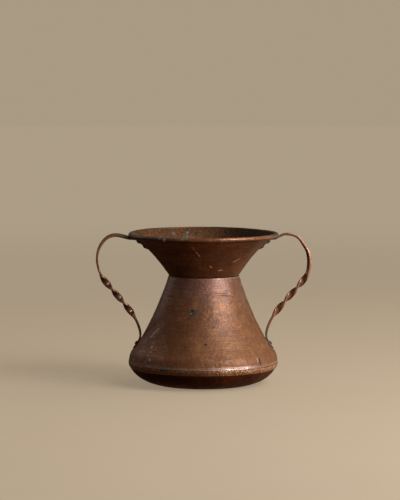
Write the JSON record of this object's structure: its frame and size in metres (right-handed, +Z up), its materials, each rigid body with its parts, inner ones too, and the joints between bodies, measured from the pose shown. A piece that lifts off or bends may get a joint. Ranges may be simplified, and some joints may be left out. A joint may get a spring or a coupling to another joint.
{
  "type": "handled jar",
  "caption": "Standing metal jar with a bell-shaped body, narrow waist, wide flared neck with a rolled rim, and twisted strap handles riveted on opposite sides.",
  "frame": {"origin": "centre of the flat foot, on the surface the jar stands on", "axes": "+Z up along the jar's axis, +X through the two handles, +Y across them"},
  "size_m": [0.2906, 0.2026, 0.204],
  "materials": {
    "neck": "aged copper, dark brown patina with bright worn rim and verdigris specks",
    "body": "aged copper, pink-brown patina with fine turning rings and hammer marks",
    "base": "aged copper, red-brown patina, planished edge",
    "handle": "worn copper strap, darker at the ends",
    "rivet": "dark copper with green tarnish",
    "wire": "plain iron wire, hidden"
  },
  "bodies": {
    "root": {"neck_funnel": "neck", "rim_wire": "wire", "body_shell": "body", "base_pan": "base", "handle_right": "handle", "handle_left": "handle", "rivet_right_rim": "rivet", "rivet_right_neck": "rivet", "rivet_right_body": "rivet", "rivet_left_rim": "rivet", "rivet_left_neck": "rivet", "rivet_left_body": "rivet"}
  },
  "joints": []
}
